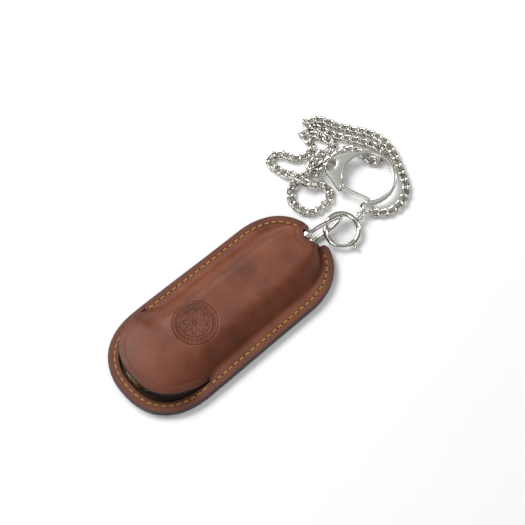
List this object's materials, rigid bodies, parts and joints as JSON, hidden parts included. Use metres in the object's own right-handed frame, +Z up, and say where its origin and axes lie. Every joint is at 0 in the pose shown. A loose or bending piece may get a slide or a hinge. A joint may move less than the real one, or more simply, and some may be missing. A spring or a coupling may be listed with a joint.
{
  "type": "pocket knife case with chain",
  "caption": "Round-ended leather slip case holding a closed pocket knife, with a shackle, spring ring, curb chain and sprung snap hook.",
  "frame": {"origin": "middle of the case's flat back, on the surface it lies on", "axes": "+X along the case towards its notched end and the chain, +Z up out of the case's crowned front"},
  "size_m": [0.1624, 0.0697, 0.0127],
  "materials": {
    "case_leather": "smooth waxed, black painted edges",
    "waxed_thread": "waxed",
    "polished_nickel": "polished",
    "ground_steel": "satin",
    "liner_brass": "satin",
    "dark_horn": "polished"
  },
  "bodies": {
    "case": {"case_back_panel": "case_leather", "case_front_panel": "case_leather", "case_mouth_facing": "case_leather", "thread_run_left": "waxed_thread", "thread_run_right": "waxed_thread", "thread_run_mouth": "waxed_thread"},
    "knife": {"knife_front_foot_bolster": "polished_nickel", "knife_front_head_bolster": "polished_nickel", "knife_back_foot_bolster": "polished_nickel", "knife_back_head_bolster": "polished_nickel", "knife_pivot_pin": "polished_nickel", "knife_spring_pin": "polished_nickel", "knife_back_spring": "ground_steel", "knife_blade": "ground_steel", "knife_front_liner": "liner_brass", "knife_back_liner": "liner_brass", "knife_front_scale": "dark_horn", "knife_back_scale": "dark_horn", "shackle_pin": "polished_nickel"},
    "shackle": {"shackle": "polished_nickel"},
    "spring_ring": {"spring_ring_tube": "polished_nickel", "spring_ring_spring": "ground_steel"},
    "ring_bolt": {"spring_ring_bolt": "polished_nickel"},
    "small_link": {"small_link": "polished_nickel"},
    "chain": {"jump_ring": "polished_nickel", "curb_chain": "polished_nickel", "hook_eye_ring": "polished_nickel"},
    "snap_hook": {"snap_hook_body": "polished_nickel", "gate_pivot_pin": "polished_nickel", "gate_spring": "ground_steel"},
    "gate": {"snap_gate": "polished_nickel"}
  },
  "joints": [
    {"name": "knife_slide", "type": "slide", "parent": "case", "child": "knife", "axis": [1, 0, 0], "range_m": [0, 0.00015]},
    {"name": "shackle_swing", "type": "hinge", "parent": "knife", "child": "shackle", "pos_m": [0.0491, 0.0004, 0.006], "axis": [0, 0, 1], "range_deg": [-3, 3]},
    {"name": "ring_swing", "type": "hinge", "parent": "shackle", "child": "spring_ring", "pos_m": [0.0638, -0.0051, 0.0036], "axis": [0, 0, 1], "range_deg": [-3, 3]},
    {"name": "bolt_travel", "type": "hinge", "parent": "spring_ring", "child": "ring_bolt", "pos_m": [0.0638, -0.0051, 0.0036], "axis": [0, -0.1676, 0.9859], "range_deg": [0, 55], "stiffness_Nm_per_rad": 0.002, "springref_deg": -17.19, "deforming": ["spring_ring_spring"]},
    {"name": "link_swing", "type": "hinge", "parent": "spring_ring", "child": "small_link", "pos_m": [0.0734, -0.0051, 0.0036], "axis": [0, 0, 1], "range_deg": [-3, 3]},
    {"name": "chain_swing", "type": "hinge", "parent": "small_link", "child": "chain", "pos_m": [0.0766, -0.0045, 0.003], "axis": [0, 0, 1], "range_deg": [-3, 3]},
    {"name": "hook_swing", "type": "hinge", "parent": "chain", "child": "snap_hook", "pos_m": [0.0795, 0.0208, 0.0044], "axis": [0, 0, 1], "range_deg": [-3, 3]},
    {"name": "gate_hinge", "type": "hinge", "parent": "snap_hook", "child": "gate", "pos_m": [0.07676, 0.01013, 0.00386], "axis": [-0.0343, -0.0396, 0.9986], "range_deg": [0, 26], "stiffness_Nm_per_rad": 0.003, "springref_deg": -17.19}
  ]
}
